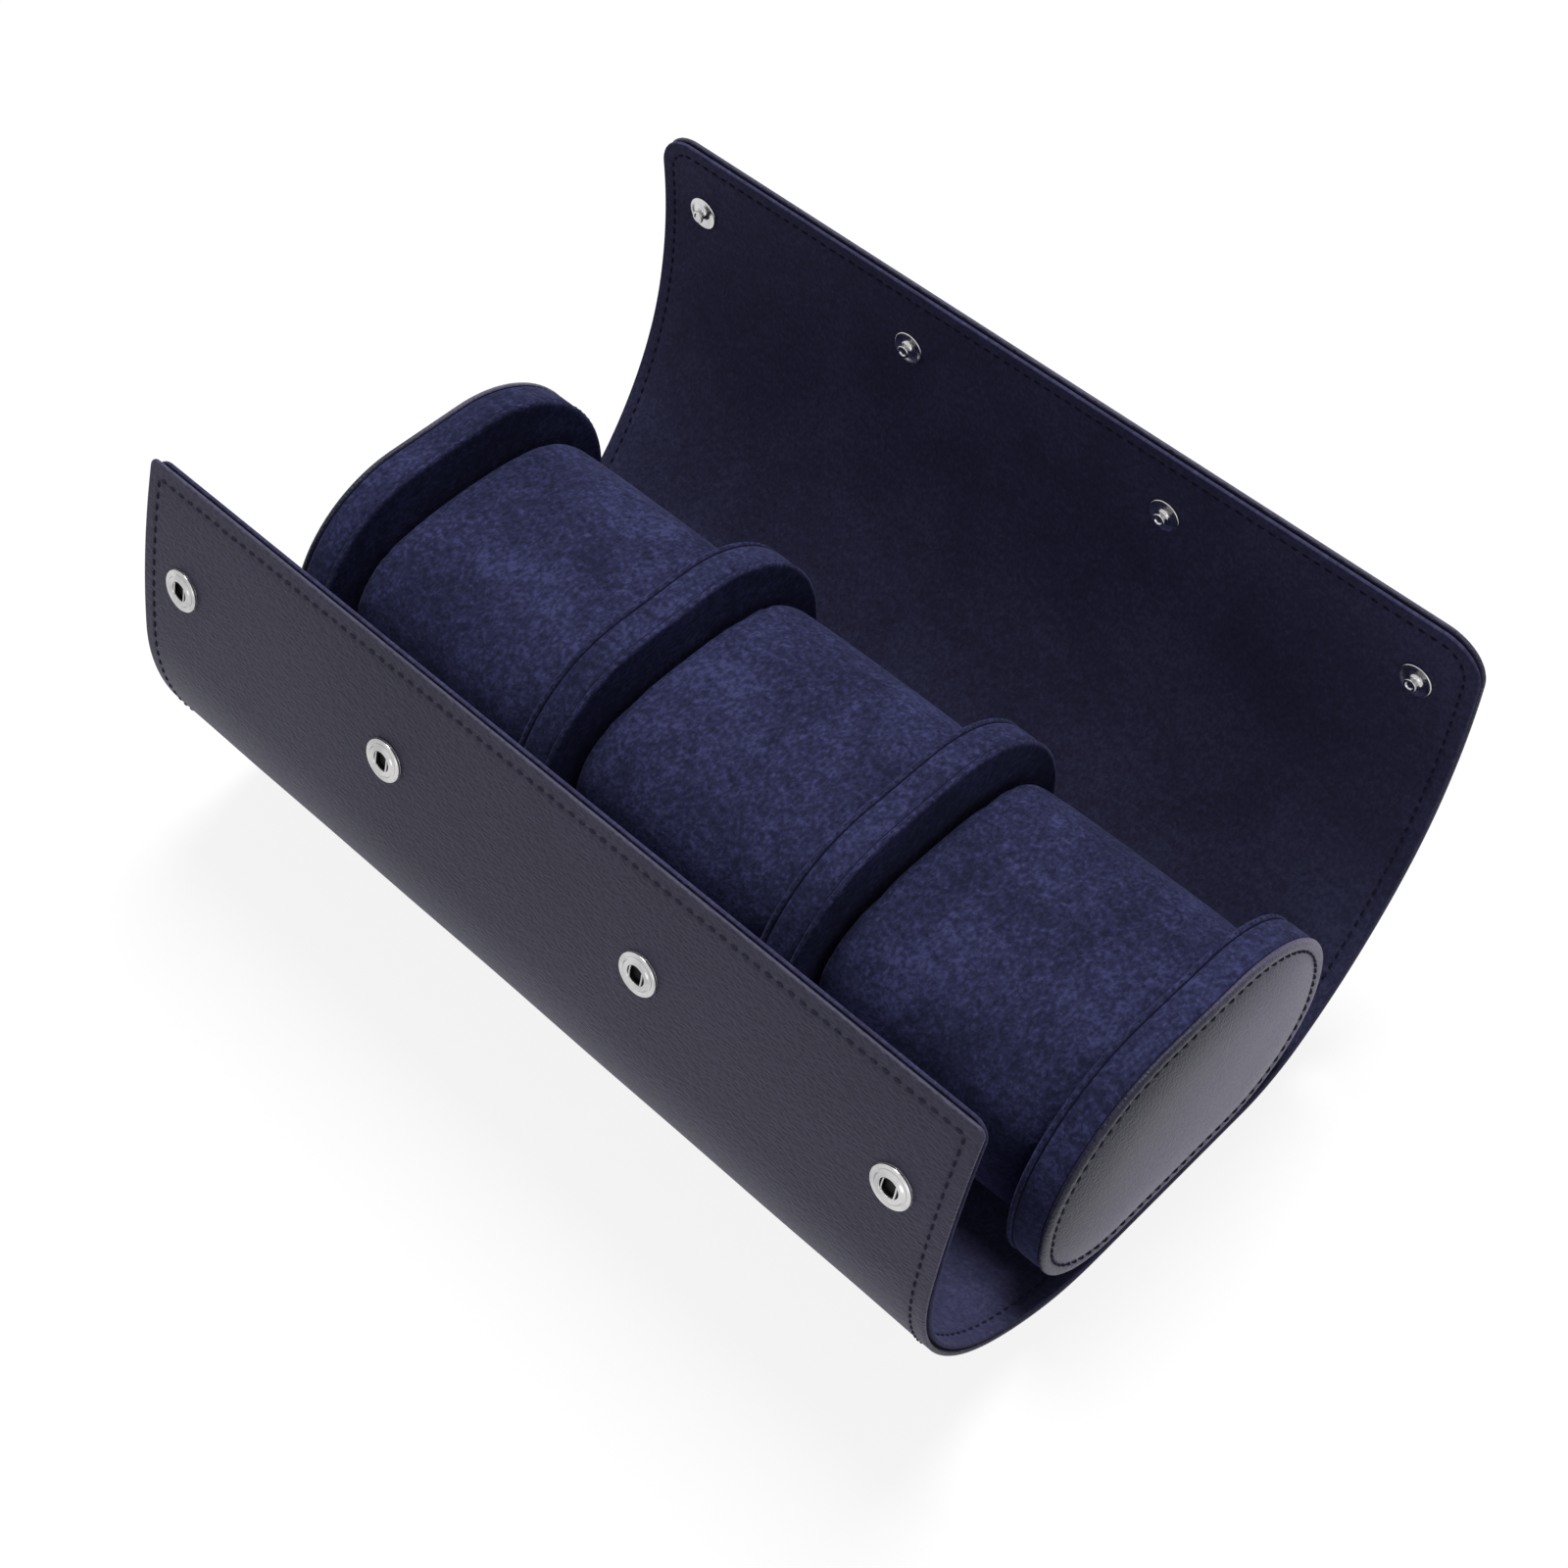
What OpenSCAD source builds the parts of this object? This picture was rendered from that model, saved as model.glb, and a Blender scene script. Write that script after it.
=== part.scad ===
// Watch roll for three watches, standing open: a wrap of leather, stiffener and suede,
// four dividers on its flat bottom, three lift-out pillows and four snap fasteners.
// X runs along the roll, +Y is the rear flap's side and +Z is up.
// The origin is the centre of the flat bottom, on the table.

/* [Wrap] */
// Length of the wrap along the roll
wrap_length = 240; // [215:5:300]
// Width of the flat bottom, between the two lowest fold lines
base_width = 51; // [46:1:56]
// Thickness of the outer leather
leather_t = 1; // [0.8:0.1:1.4]
// Thickness of the stiffener inside the wrap
stiffener_t = 0.8; // [0.5:0.1:1.2]
// Thickness of the suede lining
lining_t = 1; // [0.8:0.1:1.4]
// Sewn border of the wrap, which holds no stiffener
border = 5; // [4:0.5:8]
// Slit between neighbouring strips at a fold line
fold_slit = 0.98; // [0.9:0.02:0.98]

/* [Front flap] */
// Lengths of the strips, from the base up to the edge
front_lengths = [18, 20, 30, 30, 46.5];
// Bends of the strips, in degrees
front_bends = [21, 15, 31, 33, 10];
// Distance of the sockets from the flap's edge
socket_edge = 27; // [20:0.5:32]
// Radius of the flap's corners
front_corner_r = 4; // [2:0.5:12]

/* [Rear flap] */
// Lengths of the strips, from the base up to the edge
rear_lengths = [20, 22, 24, 24, 46.5];
// Bends of the strips, in degrees
rear_bends = [38, 14, 12, 14, 19];
// Distance of the studs from the flap's edge
stud_edge = 18.6; // [14:0.2:24]
// Radius of the flap's corners
rear_corner_r = 11; // [4:0.5:13]

/* [Dividers] */
// Width of a divider, front to rear
divider_width = 93; // [86:1:98]
// Height of a divider above the lining
divider_height = 67; // [66:1:76]
// Thickness of a divider
divider_t = 10.5; // [8:0.5:13]
// Radius of the two lower corners
lower_r = 28; // [20:1:30]
// Radius of the two upper corners
upper_r = 36; // [24:1:36]
// Thickness of the sheets that face a divider
face_t = 1.6; // [1:0.1:2.5]
// Thickness of the suede band round a divider's rim
band_t = 1.4; // [0.8:0.1:2]
// How far the band lies below the rims of the faces
band_inset = 0.35; // [0.2:0.05:0.8]

/* [Pillows] */
// Width of a pillow, front to rear
pillow_width = 79; // [60:1:82]
// Height of a pillow
pillow_height = 56.5; // [44:0.5:62]
// Gap between a pillow's end and the divider
pillow_end_gap = 0.8; // [0.5:0.1:0.9]
// Gap under a pillow, over the lining
pillow_seat_gap = 0.3; // [0.2:0.1:0.6]
// How far a pillow's ends are drawn in all round
pillow_draw = 4; // [2:0.5:6]
// Thickness of a pillow's suede cover with its wadding
cover_t = 1.8; // [1.2:0.2:3]

/* [Snap fasteners] */
// Distance of the outer snaps from the ends of the wrap
snap_inset = 14; // [10:1:20]
// Diameter of a socket
socket_d = 10.5; // [9.5:0.5:12]
// Height of a socket over the leather
socket_h = 1.4; // [1.2:0.1:2]
// Diameter of the socket's mouth
mouth_d = 4.3; // [4:0.1:5]
// Diameter of the stud's knob
knob_d = 3.6; // [3:0.1:3.7]
// Height of the knob over its flange
knob_h = 2; // [1.5:0.1:2.4]
// Diameter of the stud's flange
flange_d = 8.4; // [7:0.2:9]
// Thickness of the stud's flange
flange_t = 0.6; // [0.5:0.1:1]
// Diameter of the domed cap
cap_d = 12.5; // [11:0.5:15]
// Height of the domed cap
cap_h = 1.6; // [1.2:0.1:2.4]
// Diameter of the cap's post
post_d = 2.2; // [1.6:0.2:2.6]
// Diameter of the tube behind a socket
tube_d = 5.8; // [5.4:0.1:6.4]
// Thickness of the flange behind a socket
eyelet_t = 0.6; // [0.4:0.1:0.7]
// Gap round posts and tubes in the wrap
hole_gap = 0.2; // [0.1:0.05:0.4]

/* [Hidden] */
$fn = 48;
FLAP_FN = 360;
SLIVER = 0.01;
PASS = 1;
// How far a corner's arc is shifted outward, so that it meets both edges at a small angle
corner_meet = 0.05;
DIVIDERS = 4;
PILLOW_RINGS = 14;
PILLOW_SIDES = 44;
CORE_RINGS = 9;
CORE_SIDES = 28;
SECTION_POWER = 2.9;
END_POWER = 3.5;
wrap_t = leather_t + stiffener_t + lining_t;
hinge_y = base_width / 2;
bay = (wrap_length - DIVIDERS * divider_t) / (DIVIDERS - 1);
pillow_length = bay - 2 * pillow_end_gap;
band_width = divider_t - 2 * face_t;
core_inset = band_inset + band_t;
pillow_middle = wrap_t + pillow_seat_gap + pillow_height / 2;
tube_t = 0.5;
seat_gap = 0.1;
spring_wire = 0.5;
spring_gap = 0.05;
lip_t = 0.4;
neck_cut = 0.3;
cap_rim_t = 0.5;
post_gap = 0.2;
STRIPS = len(front_lengths);

leather_color = [0.25, 0.25, 0.3];
suede_color = [0.13, 0.14, 0.29];
board_color = [0.45, 0.42, 0.38];
foam_color = [0.8, 0.78, 0.72];
steel_color = [0.78, 0.78, 0.78];

// Centre of divider i, counted from the left end
function divider_x(i) = -wrap_length / 2 + divider_t / 2 + i * (bay + divider_t);
// Centre of the bay to the right of divider i
function bay_x(i) = divider_x(i) + (divider_t + bay) / 2;
snap_x = [-wrap_length / 2 + snap_inset, divider_x(1), divider_x(2), wrap_length / 2 - snap_inset];

// The wrap's middle surface runs from the lower fold line through arcs that meet smoothly.
// A flap is worked out toward +Y. Its sizes are named by rear: false is the front flap.
function lengths(rear) = rear ? rear_lengths : front_lengths;
function bends(rear) = rear ? rear_bends : front_bends;
function bend_radius(rear, i) = lengths(rear)[i] / (bends(rear)[i] * PI / 180);
// Heading of the surface where strip i starts, 0 along +Y and 90 straight up
function heading(rear, i) = i == 0 ? 0 : heading(rear, i - 1) + bends(rear)[i - 1];
// Centre of strip i's arc, as [y, z]
function arc_centre(rear, i) =
    i == 0
        ? [hinge_y, wrap_t / 2 + bend_radius(rear, 0)]
        : arc_centre(rear, i - 1)
            + (bend_radius(rear, i - 1) - bend_radius(rear, i))
                * [sin(heading(rear, i)), -cos(heading(rear, i))];
// Angle that a length takes on the arc of strip i
function arc_angle(rear, i, length) = length / bend_radius(rear, i) * 180 / PI;

// Places children on the wrap's middle surface, at a distance from the flap's edge, with
// +Z pointing out of the roll and +Y toward the base
module on_flap(rear, edge_distance, x) {
    last = STRIPS - 1;
    c = arc_centre(rear, last);
    at = heading(rear, last) + bends(rear)[last] - arc_angle(rear, last, edge_distance);
    translate([x, c[0], c[1]])
        rotate([at + 180, 0, 0])
            translate([0, 0, bend_radius(rear, last)])
                children();
}

// Puts what is worked out toward +Y on its own side of the roll
module on_side(rear) {
    mirror([0, rear ? 0 : 1, 0]) children();
}

// Curved sheet of strip i, from depth near to depth far outward of the middle surface
module curved_sheet(rear, i, near, far, length, cut_start, cut_end) {
    c = arc_centre(rear, i);
    r = bend_radius(rear, i);
    start = heading(rear, i) + arc_angle(rear, i, cut_start);
    span = bends(rear)[i] - arc_angle(rear, i, cut_start + cut_end);
    translate([-length / 2, c[0], c[1]])
        rotate([0, 90, 0])
            rotate([0, 0, start])
                rotate_extrude(angle = span, $fn = FLAP_FN)
                    translate([r + near, 0])
                        square([far - near, length]);
}

// What is cut away outside the two rounded corners of a flap
module corner_cut(rear) {
    r = rear ? rear_corner_r : front_corner_r;
    for (side = [0, 1]) {
        mirror([side, 0, 0])
            on_flap(rear, 0, wrap_length / 2)
                difference() {
                    translate([-r, -r, -r]) cube([2 * r, 2 * r, 2 * r]);
                    translate([-r + corner_meet, r - corner_meet, -2 * r])
                        cylinder(r = r, h = 4 * r);
                }
    }
}

module snap_holes(rear, d) {
    for (x = snap_x) {
        on_flap(rear, rear ? stud_edge : socket_edge, x)
            cylinder(d = d + 2 * hole_gap, h = 6 * wrap_t, center = true);
    }
}

function hole_d(rear) = rear ? post_d : tube_d;
function end_cut(i) = i == STRIPS - 1 ? 0 : fold_slit / 2;
function board_end_cut(i) = i == STRIPS - 1 ? border : fold_slit / 2;

// Base of the wrap
module base_sheet(bottom, thickness, length, width) {
    translate([-length / 2, -width / 2, bottom]) cube([length, width, thickness]);
}

module base_leather() {
    color(leather_color)
        base_sheet(0, leather_t, wrap_length, base_width - fold_slit);
}

module base_stiffener() {
    color(board_color)
        base_sheet(leather_t, stiffener_t, wrap_length - 2 * border, base_width - fold_slit);
}

module base_lining() {
    color(suede_color)
        difference() {
            base_sheet(leather_t, stiffener_t + lining_t, wrap_length, base_width - fold_slit);
            base_sheet(leather_t - SLIVER, stiffener_t + SLIVER, wrap_length - 2 * border, base_width);
        }
}

// Flaps of the wrap, strip by strip
module flap_leather(rear, i) {
    color(leather_color)
        on_side(rear)
            difference() {
                curved_sheet(
                    rear, i, wrap_t / 2 - leather_t, wrap_t / 2, wrap_length, fold_slit / 2, end_cut(i)
                );
                if (i == STRIPS - 1) {
                    corner_cut(rear);
                    snap_holes(rear, hole_d(rear));
                }
            }
}

module flap_stiffener(rear, i) {
    color(board_color)
        on_side(rear)
            difference() {
                curved_sheet(
                    rear, i, wrap_t / 2 - leather_t - stiffener_t, wrap_t / 2 - leather_t,
                    wrap_length - 2 * border, fold_slit / 2, board_end_cut(i)
                );
                if (i == STRIPS - 1) {
                    snap_holes(rear, hole_d(rear));
                }
            }
}

module flap_lining(rear, i) {
    color(suede_color)
        on_side(rear)
            difference() {
                curved_sheet(
                    rear, i, -wrap_t / 2, wrap_t / 2 - leather_t, wrap_length, fold_slit / 2, end_cut(i)
                );
                curved_sheet(
                    rear, i, wrap_t / 2 - leather_t - stiffener_t, wrap_t / 2 - leather_t + SLIVER,
                    wrap_length - 2 * border, i == 0 ? 0 : -SLIVER, i == STRIPS - 1 ? border : -SLIVER
                );
                if (i == STRIPS - 1) {
                    corner_cut(rear);
                    snap_holes(rear, hole_d(rear));
                    if (!rear) {
                        eyelet_seats();
                    }
                }
            }
}

// Dividers
// Rectangle with rounded corners, as wide as a divider
module rounded_outline(bottom, top, corner_r, inset) {
    r = corner_r - inset;
    half = divider_width / 2 - inset;
    translate([-half + r, bottom + inset]) square([2 * (half - r), top - bottom - 2 * inset]);
    translate([-half, bottom + inset + r]) square([2 * half, top - bottom - 2 * (inset + r)]);
    for (y = [-half + r, half - r], z = [bottom + inset + r, top - inset - r]) {
        translate([y, z]) circle(r = r);
    }
}

// Outline of a divider as seen along the roll, drawn in by inset on all sides
module divider_outline(inset) {
    intersection() {
        rounded_outline(0, 2 * divider_height, lower_r, inset);
        rounded_outline(-divider_height, divider_height, upper_r, inset);
    }
}

// Plate of a divider's outline, centred on x
module divider_plate(x, thickness, inset) {
    translate([x - thickness / 2, 0, wrap_t])
        rotate([90, 0, 90]) linear_extrude(height = thickness) divider_outline(inset);
}

module divider_core(i) {
    color(foam_color) divider_plate(divider_x(i), band_width, core_inset);
}

module divider_band(i) {
    color(suede_color)
        difference() {
            divider_plate(divider_x(i), band_width, band_inset);
            divider_plate(divider_x(i), 2 * band_width, core_inset);
        }
}

// Sheet on the left (-1) or right (1) face of divider i
module divider_face(i, side) {
    divider_plate(divider_x(i) + side * (divider_t - face_t) / 2, face_t, 0);
}

module suede_faces(i) {
    color(suede_color)
        for (side = [-1, 1]) {
            if (!(i == 0 && side < 0) && !(i == DIVIDERS - 1 && side > 0)) {
                divider_face(i, side);
            }
        }
}

module leather_face(i) {
    color(leather_color) divider_face(i, i == 0 ? -1 : 1);
}

// Pillows
// A pillow's section is drawn in toward its ends and its sides and top are crowned
function power(v, p) = sign(v) * pow(abs(v), p);
// Half size of the section at u, which runs from -1 at one end to 1 at the other
function drawn(half, u) = half - pillow_draw * pow(abs(u), END_POWER);
function section_point(half_w, half_h, angle) =
    [half_w * power(cos(angle), 2 / SECTION_POWER), half_h * power(sin(angle), 2 / SECTION_POWER)];
function ring_u(j, rings) = sin(90 * (2 * j / (rings - 1) - 1));

// Form of pillow i, drawn in by inset on all sides
module pillow_form(i, inset, rings, sides) {
    half_w = pillow_width / 2 - inset;
    half_h = pillow_height / 2 - inset;
    half_l = pillow_length / 2 - inset;
    spots = [
        for (j = [0:rings - 1], k = [0:sides - 1])
            let (
                u = ring_u(j, rings),
                p = section_point(drawn(half_w, u), drawn(half_h, u), 360 * k / sides)
            )
            [bay_x(i) + u * half_l, p[0], pillow_middle + p[1]]
    ];
    walls = [
        for (j = [0:rings - 2], k = [0:sides - 1], half = [0, 1])
            let (
                a = j * sides + k,
                b = j * sides + (k + 1) % sides
            )
            half == 0 ? [a, b + sides, b] : [a, a + sides, b + sides]
    ];
    ends = [
        [for (k = [0:sides - 1]) k],
        [for (k = [sides - 1:-1:0]) (rings - 1) * sides + k]
    ];
    polyhedron(points = spots, faces = concat(walls, ends), convexity = 4);
}

module pillow_core(i) {
    color(foam_color) pillow_form(i, cover_t, CORE_RINGS, CORE_SIDES);
}

module pillow_cover(i) {
    color(suede_color)
        difference() {
            pillow_form(i, 0, PILLOW_RINGS, PILLOW_SIDES);
            pillow_form(i, cover_t, CORE_RINGS, CORE_SIDES);
        }
}

// Snap fasteners
module at_snaps(rear) {
    on_side(rear)
        for (x = snap_x) {
            on_flap(rear, rear ? stud_edge : socket_edge, x) children();
        }
}

// Cut in the lining that the flange behind a socket lies in
module eyelet_seats() {
    for (x = snap_x) {
        on_flap(false, socket_edge, x)
            translate([0, 0, -wrap_t / 2 - PASS])
                cylinder(d = flange_d + 2 * hole_gap, h = PASS + eyelet_t + seat_gap);
    }
}

module snap_sockets() {
    wall = (socket_d - mouth_d) / 2;
    edge = socket_h / 2;
    color(steel_color)
        at_snaps(false)
            translate([0, 0, wrap_t / 2 + seat_gap])
                difference() {
                    rotate_extrude() {
                        translate([mouth_d / 2, 0]) square([wall, socket_h - edge]);
                        translate([mouth_d / 2, 0]) square([wall - edge, socket_h]);
                        translate([socket_d / 2 - edge, socket_h - edge]) circle(r = edge);
                    }
                    translate([0, 0, lip_t])
                        cylinder(
                            d = mouth_d + 2 * (spring_wire + spring_gap), h = spring_wire + 2 * spring_gap
                        );
                }
}

module snap_springs() {
    color(steel_color)
        at_snaps(false)
            translate([0, 0, wrap_t / 2 + seat_gap + lip_t + spring_gap + spring_wire / 2])
                rotate_extrude()
                    translate([(mouth_d + spring_wire) / 2, 0]) circle(d = spring_wire);
}

module snap_eyelets() {
    color(steel_color)
        at_snaps(false)
            difference() {
                union() {
                    translate([0, 0, -wrap_t / 2]) cylinder(d = flange_d, h = eyelet_t);
                    translate([0, 0, -wrap_t / 2]) cylinder(d = tube_d, h = wrap_t + seat_gap);
                }
                cylinder(d = tube_d - 2 * tube_t, h = 2 * wrap_t, center = true);
            }
}

module snap_studs() {
    neck_d = knob_d - 2 * neck_cut;
    bulge = knob_h / 4;
    color(steel_color)
        at_snaps(true)
            translate([0, 0, -wrap_t / 2 - seat_gap])
                mirror([0, 0, 1])
                    difference() {
                        rotate_extrude() {
                            square([flange_d / 2, flange_t]);
                            square([neck_d / 2, flange_t + knob_h]);
                            translate([0, flange_t + knob_h - 2 * bulge])
                                square([knob_d / 2 - bulge, 2 * bulge]);
                            translate([knob_d / 2 - bulge, flange_t + knob_h - bulge])
                                circle(r = bulge);
                        }
                        translate([0, 0, -PASS]) cylinder(d = post_d, h = PASS + flange_t + knob_h / 2);
                    }
}

module snap_caps() {
    dome = cap_h - cap_rim_t;
    dome_r = (pow(cap_d / 2, 2) + pow(dome, 2)) / (2 * dome);
    post_end = wrap_t + 2 * seat_gap + flange_t + knob_h / 2 - post_gap;
    color(steel_color)
        at_snaps(true)
            translate([0, 0, wrap_t / 2 + seat_gap]) {
                rotate_extrude()
                    intersection() {
                        square([cap_d / 2, cap_h]);
                        translate([0, cap_h - dome_r]) circle(r = dome_r, $fn = FLAP_FN);
                    }
                translate([0, 0, -post_end]) cylinder(d = post_d, h = post_end + cap_rim_t);
            }
}

// Names of the nodes
DIVIDER_NAMES = ["left_end", "left_divider", "right_divider", "right_end"];
PILLOW_NAMES = ["left_pillow", "middle_pillow", "right_pillow"];
LAYERS = ["leather", "stiffener", "lining"];
function flap_node(rear, layer, i) = str(rear ? "rear" : "front", "_flap_", layer, "_", i + 1);
function is_end(i) = i == 0 || i == DIVIDERS - 1;
function faces_node(i) = str(DIVIDER_NAMES[i], is_end(i) ? "_suede_face" : "_faces");

base_leather();
base_stiffener();
base_lining();
for (rear = [false, true], i = [0:STRIPS - 1]) {
    flap_leather(rear, i);
    flap_stiffener(rear, i);
    flap_lining(rear, i);
}
for (i = [0:DIVIDERS - 1]) {
    divider_core(i);
    divider_band(i);
    suede_faces(i);
}
for (i = [0, DIVIDERS - 1]) {
    leather_face(i);
}
for (i = [0:DIVIDERS - 2]) {
    pillow_core(i);
    pillow_cover(i);
}
snap_sockets();
snap_springs();
snap_eyelets();
snap_studs();
snap_caps();
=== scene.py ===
"""Watch roll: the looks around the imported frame.

Sizes here are in millimetres, and become metres in make(). Camera, lamps and floor are in metres.
"""

import math

import bmesh
import bpy
import numpy as np
from mathutils import Matrix, Vector


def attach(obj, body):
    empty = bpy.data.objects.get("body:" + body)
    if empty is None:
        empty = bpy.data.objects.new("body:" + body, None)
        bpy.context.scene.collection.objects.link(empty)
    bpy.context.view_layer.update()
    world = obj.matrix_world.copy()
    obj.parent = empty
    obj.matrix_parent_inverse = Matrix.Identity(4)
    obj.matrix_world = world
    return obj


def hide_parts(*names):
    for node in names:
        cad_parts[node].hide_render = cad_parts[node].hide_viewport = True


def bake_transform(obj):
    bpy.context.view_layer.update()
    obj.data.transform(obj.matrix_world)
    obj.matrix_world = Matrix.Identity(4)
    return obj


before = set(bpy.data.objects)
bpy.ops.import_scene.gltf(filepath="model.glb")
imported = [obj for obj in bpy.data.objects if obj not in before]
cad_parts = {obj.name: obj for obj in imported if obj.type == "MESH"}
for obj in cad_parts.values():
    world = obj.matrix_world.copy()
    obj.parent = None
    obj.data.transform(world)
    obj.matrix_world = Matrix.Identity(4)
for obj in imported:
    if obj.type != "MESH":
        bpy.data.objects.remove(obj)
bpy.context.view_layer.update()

MM = 0.001

# Sizes of the wrap.
HALF_LENGTH = 120.0
HINGE_Y = 25.5
WRAP_T = 2.8
MIDDLE_Z = WRAP_T / 2
SKIN = WRAP_T / 2  # from the middle surface to either face of the wrap
LENGTHS = {"front": (18, 20, 30, 30, 46.5), "rear": (20, 22, 24, 24, 46.5)}
BENDS = {"front": (21, 15, 31, 33, 10), "rear": (38, 14, 12, 14, 19)}
LAST_S = {side: float(sum(LENGTHS[side])) for side in LENGTHS}
SEAM_INSET = 3.6
SEAM_DEPTH = 0.14
BASE_SPLIT = 12.0
SNAP_X = (-106.0, -38.25, 38.25, 106.0)
SNAP_EDGE = {"front": 27.0, "rear": 18.6}
SIGN = {"front": -1, "rear": 1}
# Insets of the columns and rows near an edge. The columns between are even.
EDGE_STEPS = (0.0, 0.05, 0.14, 0.28, 0.45, 0.9, 1.6, 2.4, 2.9)
EDGE_STEPS += (3.2, 3.45, 3.6, 3.75, 4.0, 4.3, 5.0, 6.4, 9.0)
INNER_COLUMNS = list(np.linspace(-HALF_LENGTH + 14, HALF_LENGTH - 14, 45))

# Sizes of the dividers and pillows.
DIVIDER_X = (-114.75, -38.25, 38.25, 114.75)
DIVIDER_NAMES = ("left_end", "left_divider", "right_divider", "right_end")
DIVIDER_T = 10.5
DIVIDER_HALF = 46.5
DIVIDER_H = 67.0
LOWER_R = 28.0
UPPER_R = 36.0
FACE_T = 1.6
PILLOW_NAMES = ("left_pillow", "middle_pillow", "right_pillow")
PILLOW_X = (-76.5, 0.0, 76.5)
PILLOW_HALF = (32.2, 39.5, 28.25)
PILLOW_Z = 31.35


# Materials.
WHITE = (1.0, 1.0, 1.0)
BLACK = (0.0, 0.0, 0.0)


def new_material(name):
    mat = bpy.data.materials.new(name)
    mat.use_nodes = True
    tree = mat.node_tree
    tree.nodes.clear()
    out = tree.nodes.new("ShaderNodeOutputMaterial")
    bsdf = tree.nodes.new("ShaderNodeBsdfPrincipled")
    tree.links.new(bsdf.outputs[0], out.inputs[0])
    return mat, tree, bsdf


def coordinates(tree, kind):
    node = tree.nodes.new("ShaderNodeTexCoord")
    return node.outputs[kind]


def noise(tree, vector, scale, detail=2.0, rough=0.5, distortion=0.0):
    node = tree.nodes.new("ShaderNodeTexNoise")
    node.inputs["Scale"].default_value = scale
    node.inputs["Detail"].default_value = detail
    node.inputs["Roughness"].default_value = rough
    node.inputs["Distortion"].default_value = distortion
    tree.links.new(vector, node.inputs["Vector"])
    return node.outputs[0]


def voronoi(tree, vector, scale):
    node = tree.nodes.new("ShaderNodeTexVoronoi")
    node.inputs["Scale"].default_value = scale
    tree.links.new(vector, node.inputs["Vector"])
    return node.outputs["Distance"]


def stretch(tree, vector, scale, angle=0.0):
    node = tree.nodes.new("ShaderNodeMapping")
    node.inputs["Scale"].default_value = scale
    node.inputs["Rotation"].default_value = (0, 0, angle)
    tree.links.new(vector, node.inputs["Vector"])
    return node.outputs[0]


def ramp(tree, value, stops):
    node = tree.nodes.new("ShaderNodeValToRGB")
    elements = node.color_ramp.elements
    while len(elements) < len(stops):
        elements.new(0.5)
    for element, (place, colour) in zip(elements, stops):
        element.position = place
        element.color = (*colour, 1.0)
    tree.links.new(value, node.inputs[0])
    return node.outputs[0]


def math_node(tree, kind, a, b):
    node = tree.nodes.new("ShaderNodeMath")
    node.operation = kind
    for socket, value in zip(node.inputs, (a, b)):
        if isinstance(value, (int, float)):
            socket.default_value = value
        else:
            tree.links.new(value, socket)
    return node.outputs[0]


def weighted(tree, *terms):
    """Sum of (output, weight) terms."""
    total = None
    for value, weight in terms:
        part = math_node(tree, "MULTIPLY", value, weight)
        total = part if total is None else math_node(tree, "ADD", total, part)
    return total


def scaled(tree, value, factor, start):
    """value times factor, plus start."""
    return math_node(tree, "ADD", math_node(tree, "MULTIPLY", value, factor), start)


def mix_colour(tree, factor, a, b, kind="MIX"):
    node = tree.nodes.new("ShaderNodeMix")
    node.data_type = "RGBA"
    node.blend_type = kind
    for index, value in ((0, factor), (6, a), (7, b)):
        if isinstance(value, (int, float)):
            node.inputs[index].default_value = value
        elif isinstance(value, tuple):
            node.inputs[index].default_value = (*value, 1.0)
        else:
            tree.links.new(value, node.inputs[index])
    return node.outputs[2]


def bump(tree, height, strength, distance, normal=None):
    node = tree.nodes.new("ShaderNodeBump")
    node.inputs["Strength"].default_value = strength
    node.inputs["Distance"].default_value = distance
    tree.links.new(height, node.inputs["Height"])
    if normal is not None:
        tree.links.new(normal, node.inputs["Normal"])
    return node.outputs[0]


def srgb(*levels):
    """Linear colour from levels of 0 to 255."""
    return tuple(
        (v / 255 / 12.92) if v <= 10 else ((v / 255 + 0.055) / 1.055) ** 2.4 for v in levels
    )


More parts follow.
